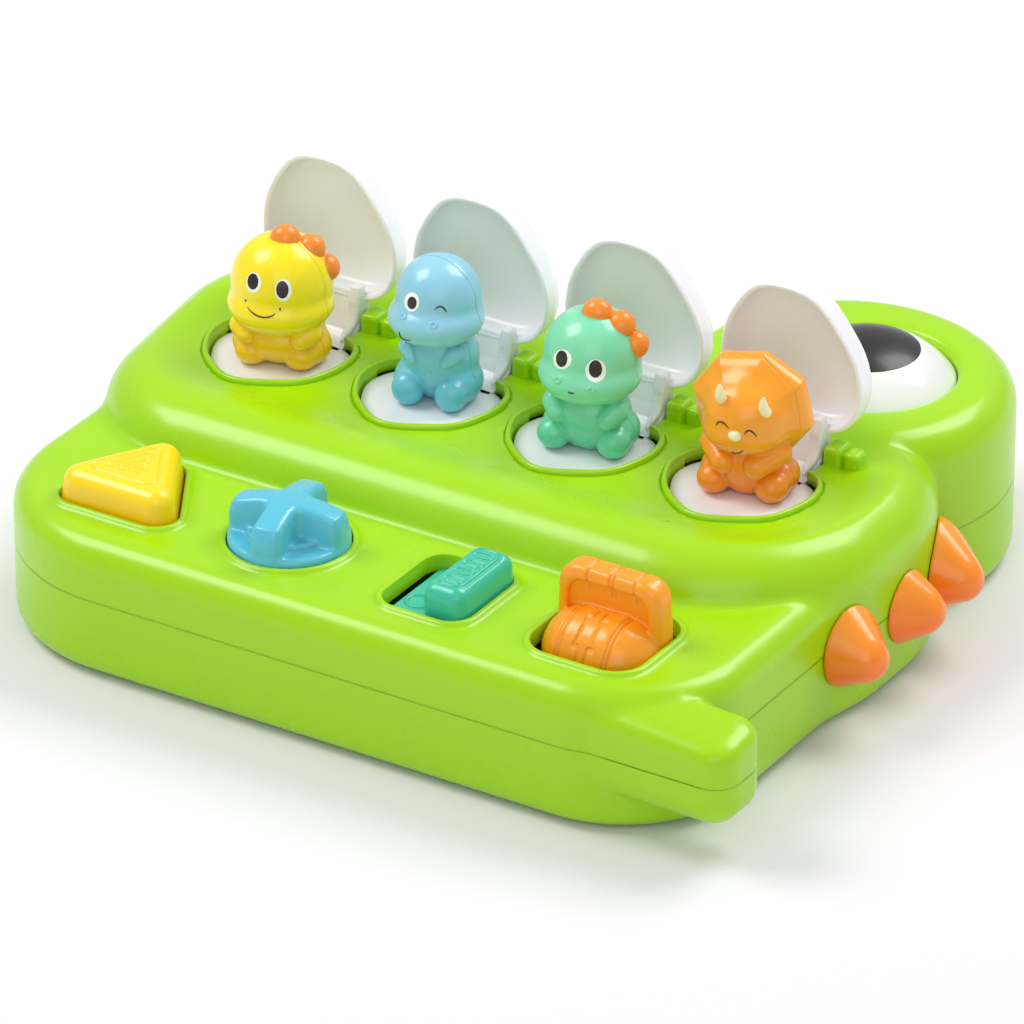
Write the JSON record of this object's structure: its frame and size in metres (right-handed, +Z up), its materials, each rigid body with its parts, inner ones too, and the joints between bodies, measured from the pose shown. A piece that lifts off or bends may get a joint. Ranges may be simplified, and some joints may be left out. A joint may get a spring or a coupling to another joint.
{
  "type": "pop up animal toy",
  "caption": "Baby pop-up toy: a rounded dinosaur-shaped case whose push, twist, slide and flip buttons release sprung lids with animal figures.",
  "frame": {"origin": "middle of the bounding box, on the ground under the feet", "axes": "+X along the row of lids towards the spine spikes, -Y towards the button deck at the front, +Z up"},
  "size_m": [0.2964, 0.2594, 0.1166],
  "materials": {
    "green_plastic": "satin moulded plastic, lime green",
    "white_plastic": "satin moulded plastic, white",
    "eye_white": "polished moulded plastic, white",
    "eye_black": "polished moulded plastic, near black",
    "orange_plastic": "glossy moulded plastic, orange",
    "yellow_plastic": "glossy moulded plastic, yellow",
    "blue_plastic": "glossy moulded plastic, light blue",
    "mint_plastic": "glossy moulded plastic, mint green",
    "teal_plastic": "glossy moulded plastic, teal",
    "amber_plastic": "glossy moulded plastic, amber orange",
    "grey_plastic": "plain moulded plastic, grey",
    "spring_steel": "bright drawn steel",
    "grey_rubber": "matt moulded rubber"
  },
  "bodies": {
    "case": {"top_shell": "green_plastic", "bottom_shell": "green_plastic", "eye_ball": "eye_white", "eye_pupil": "eye_black", "spine_spike_1": "orange_plastic", "spine_spike_2": "orange_plastic", "spine_spike_3": "orange_plastic", "hinge_pin_1": "spring_steel", "hinge_pin_2": "spring_steel", "hinge_pin_3": "spring_steel", "hinge_pin_4": "spring_steel", "lid_spring_1": "spring_steel", "lid_spring_2": "spring_steel", "lid_spring_3": "spring_steel", "lid_spring_4": "spring_steel", "push_spring": "spring_steel", "flip_pin": "spring_steel", "latch_spring_1": "spring_steel", "latch_spring_2": "spring_steel", "latch_spring_3": "spring_steel", "latch_spring_4": "spring_steel", "case_screws": "spring_steel", "rubber_feet": "grey_rubber"},
    "popup_1": {"popup_lid_1": "white_plastic", "figure_1_front": "yellow_plastic", "figure_1_back": "yellow_plastic", "figure_1_crest": "orange_plastic"},
    "popup_2": {"popup_lid_2": "white_plastic", "figure_2_front": "blue_plastic", "figure_2_back": "blue_plastic"},
    "popup_3": {"popup_lid_3": "white_plastic", "figure_3_front": "mint_plastic", "figure_3_back": "mint_plastic", "figure_3_crest": "orange_plastic"},
    "popup_4": {"popup_lid_4": "white_plastic", "figure_4_front": "amber_plastic", "figure_4_back": "amber_plastic"},
    "push": {"push_button": "yellow_plastic"},
    "knob": {"rotary_knob": "blue_plastic"},
    "slider": {"slide_button": "teal_plastic"},
    "flip": {"flip_lever": "amber_plastic"},
    "latch_1": {"latch_lever_1": "grey_plastic"},
    "latch_2": {"latch_lever_2": "grey_plastic"},
    "latch_3": {"latch_lever_3": "grey_plastic"},
    "latch_4": {"latch_lever_4": "grey_plastic"}
  },
  "joints": [
    {"name": "lid_1_hinge", "type": "hinge", "parent": "case", "child": "popup_1", "pos_m": [-0.0933, 0.0256, 0.0606], "axis": [1, 0, 0], "range_deg": [0, 90], "stiffness_Nm_per_rad": 0.02, "springref_deg": -68.75},
    {"name": "lid_2_hinge", "type": "hinge", "parent": "case", "child": "popup_2", "pos_m": [-0.0353, 0.0256, 0.0606], "axis": [1, 0, 0], "range_deg": [0, 90], "stiffness_Nm_per_rad": 0.02, "springref_deg": -68.75},
    {"name": "lid_3_hinge", "type": "hinge", "parent": "case", "child": "popup_3", "pos_m": [0.0227, 0.0256, 0.0606], "axis": [1, 0, 0], "range_deg": [0, 90], "stiffness_Nm_per_rad": 0.02, "springref_deg": -68.75},
    {"name": "lid_4_hinge", "type": "hinge", "parent": "case", "child": "popup_4", "pos_m": [0.0807, 0.0256, 0.0606], "axis": [1, 0, 0], "range_deg": [0, 90], "stiffness_Nm_per_rad": 0.02, "springref_deg": -68.75},
    {"name": "push_press", "type": "slide", "parent": "case", "child": "push", "axis": [0, 0, -1], "range_m": [0, 0.005], "stiffness_N_per_m": 250, "springref_m": -0.003, "deforming": ["push_spring"]},
    {"name": "knob_turn", "type": "hinge", "parent": "case", "child": "knob", "pos_m": [-0.0313, -0.0944, 0.0482], "axis": [0, 0, 1], "range_deg": [0, 60], "stiffness_Nm_per_rad": 0.02, "springref_deg": -5.73},
    {"name": "slide_push", "type": "slide", "parent": "case", "child": "slider", "axis": [-1, 0, 0], "range_m": [0, 0.01], "stiffness_N_per_m": 100, "springref_m": -0.002},
    {"name": "flip_tilt", "type": "hinge", "parent": "case", "child": "flip", "pos_m": [0.0847, -0.0944, 0.044], "axis": [-1, 0, 0], "range_deg": [0, 25], "stiffness_Nm_per_rad": 0.05, "springref_deg": -14.32},
    {"name": "latch_1_pivot", "type": "hinge", "parent": "case", "child": "latch_1", "pos_m": [-0.0933, -0.0434, 0.0038], "axis": [0, 0, -1], "range_deg": [0, 4.05]},
    {"name": "latch_2_pivot", "type": "hinge", "parent": "case", "child": "latch_2", "pos_m": [-0.0353, -0.0434, 0.0038], "axis": [0, 0, -1], "range_deg": [0, 4.05]},
    {"name": "latch_3_pivot", "type": "hinge", "parent": "case", "child": "latch_3", "pos_m": [0.0227, -0.0434, 0.0038], "axis": [0, 0, -1], "range_deg": [0, 4.05]},
    {"name": "latch_4_pivot", "type": "hinge", "parent": "case", "child": "latch_4", "pos_m": [0.0807, -0.0434, 0.0038], "axis": [0, 0, -1], "range_deg": [0, 4.05]}
  ],
  "couplings": [
    {"joint": "latch_1_pivot", "follows": "push_press", "rad_per_m": 13.96},
    {"joint": "latch_2_pivot", "follows": "knob_turn", "ratio": 0.0667},
    {"joint": "latch_3_pivot", "follows": "slide_push", "rad_per_m": 6.98},
    {"joint": "latch_4_pivot", "follows": "flip_tilt", "ratio": 0.16}
  ]
}
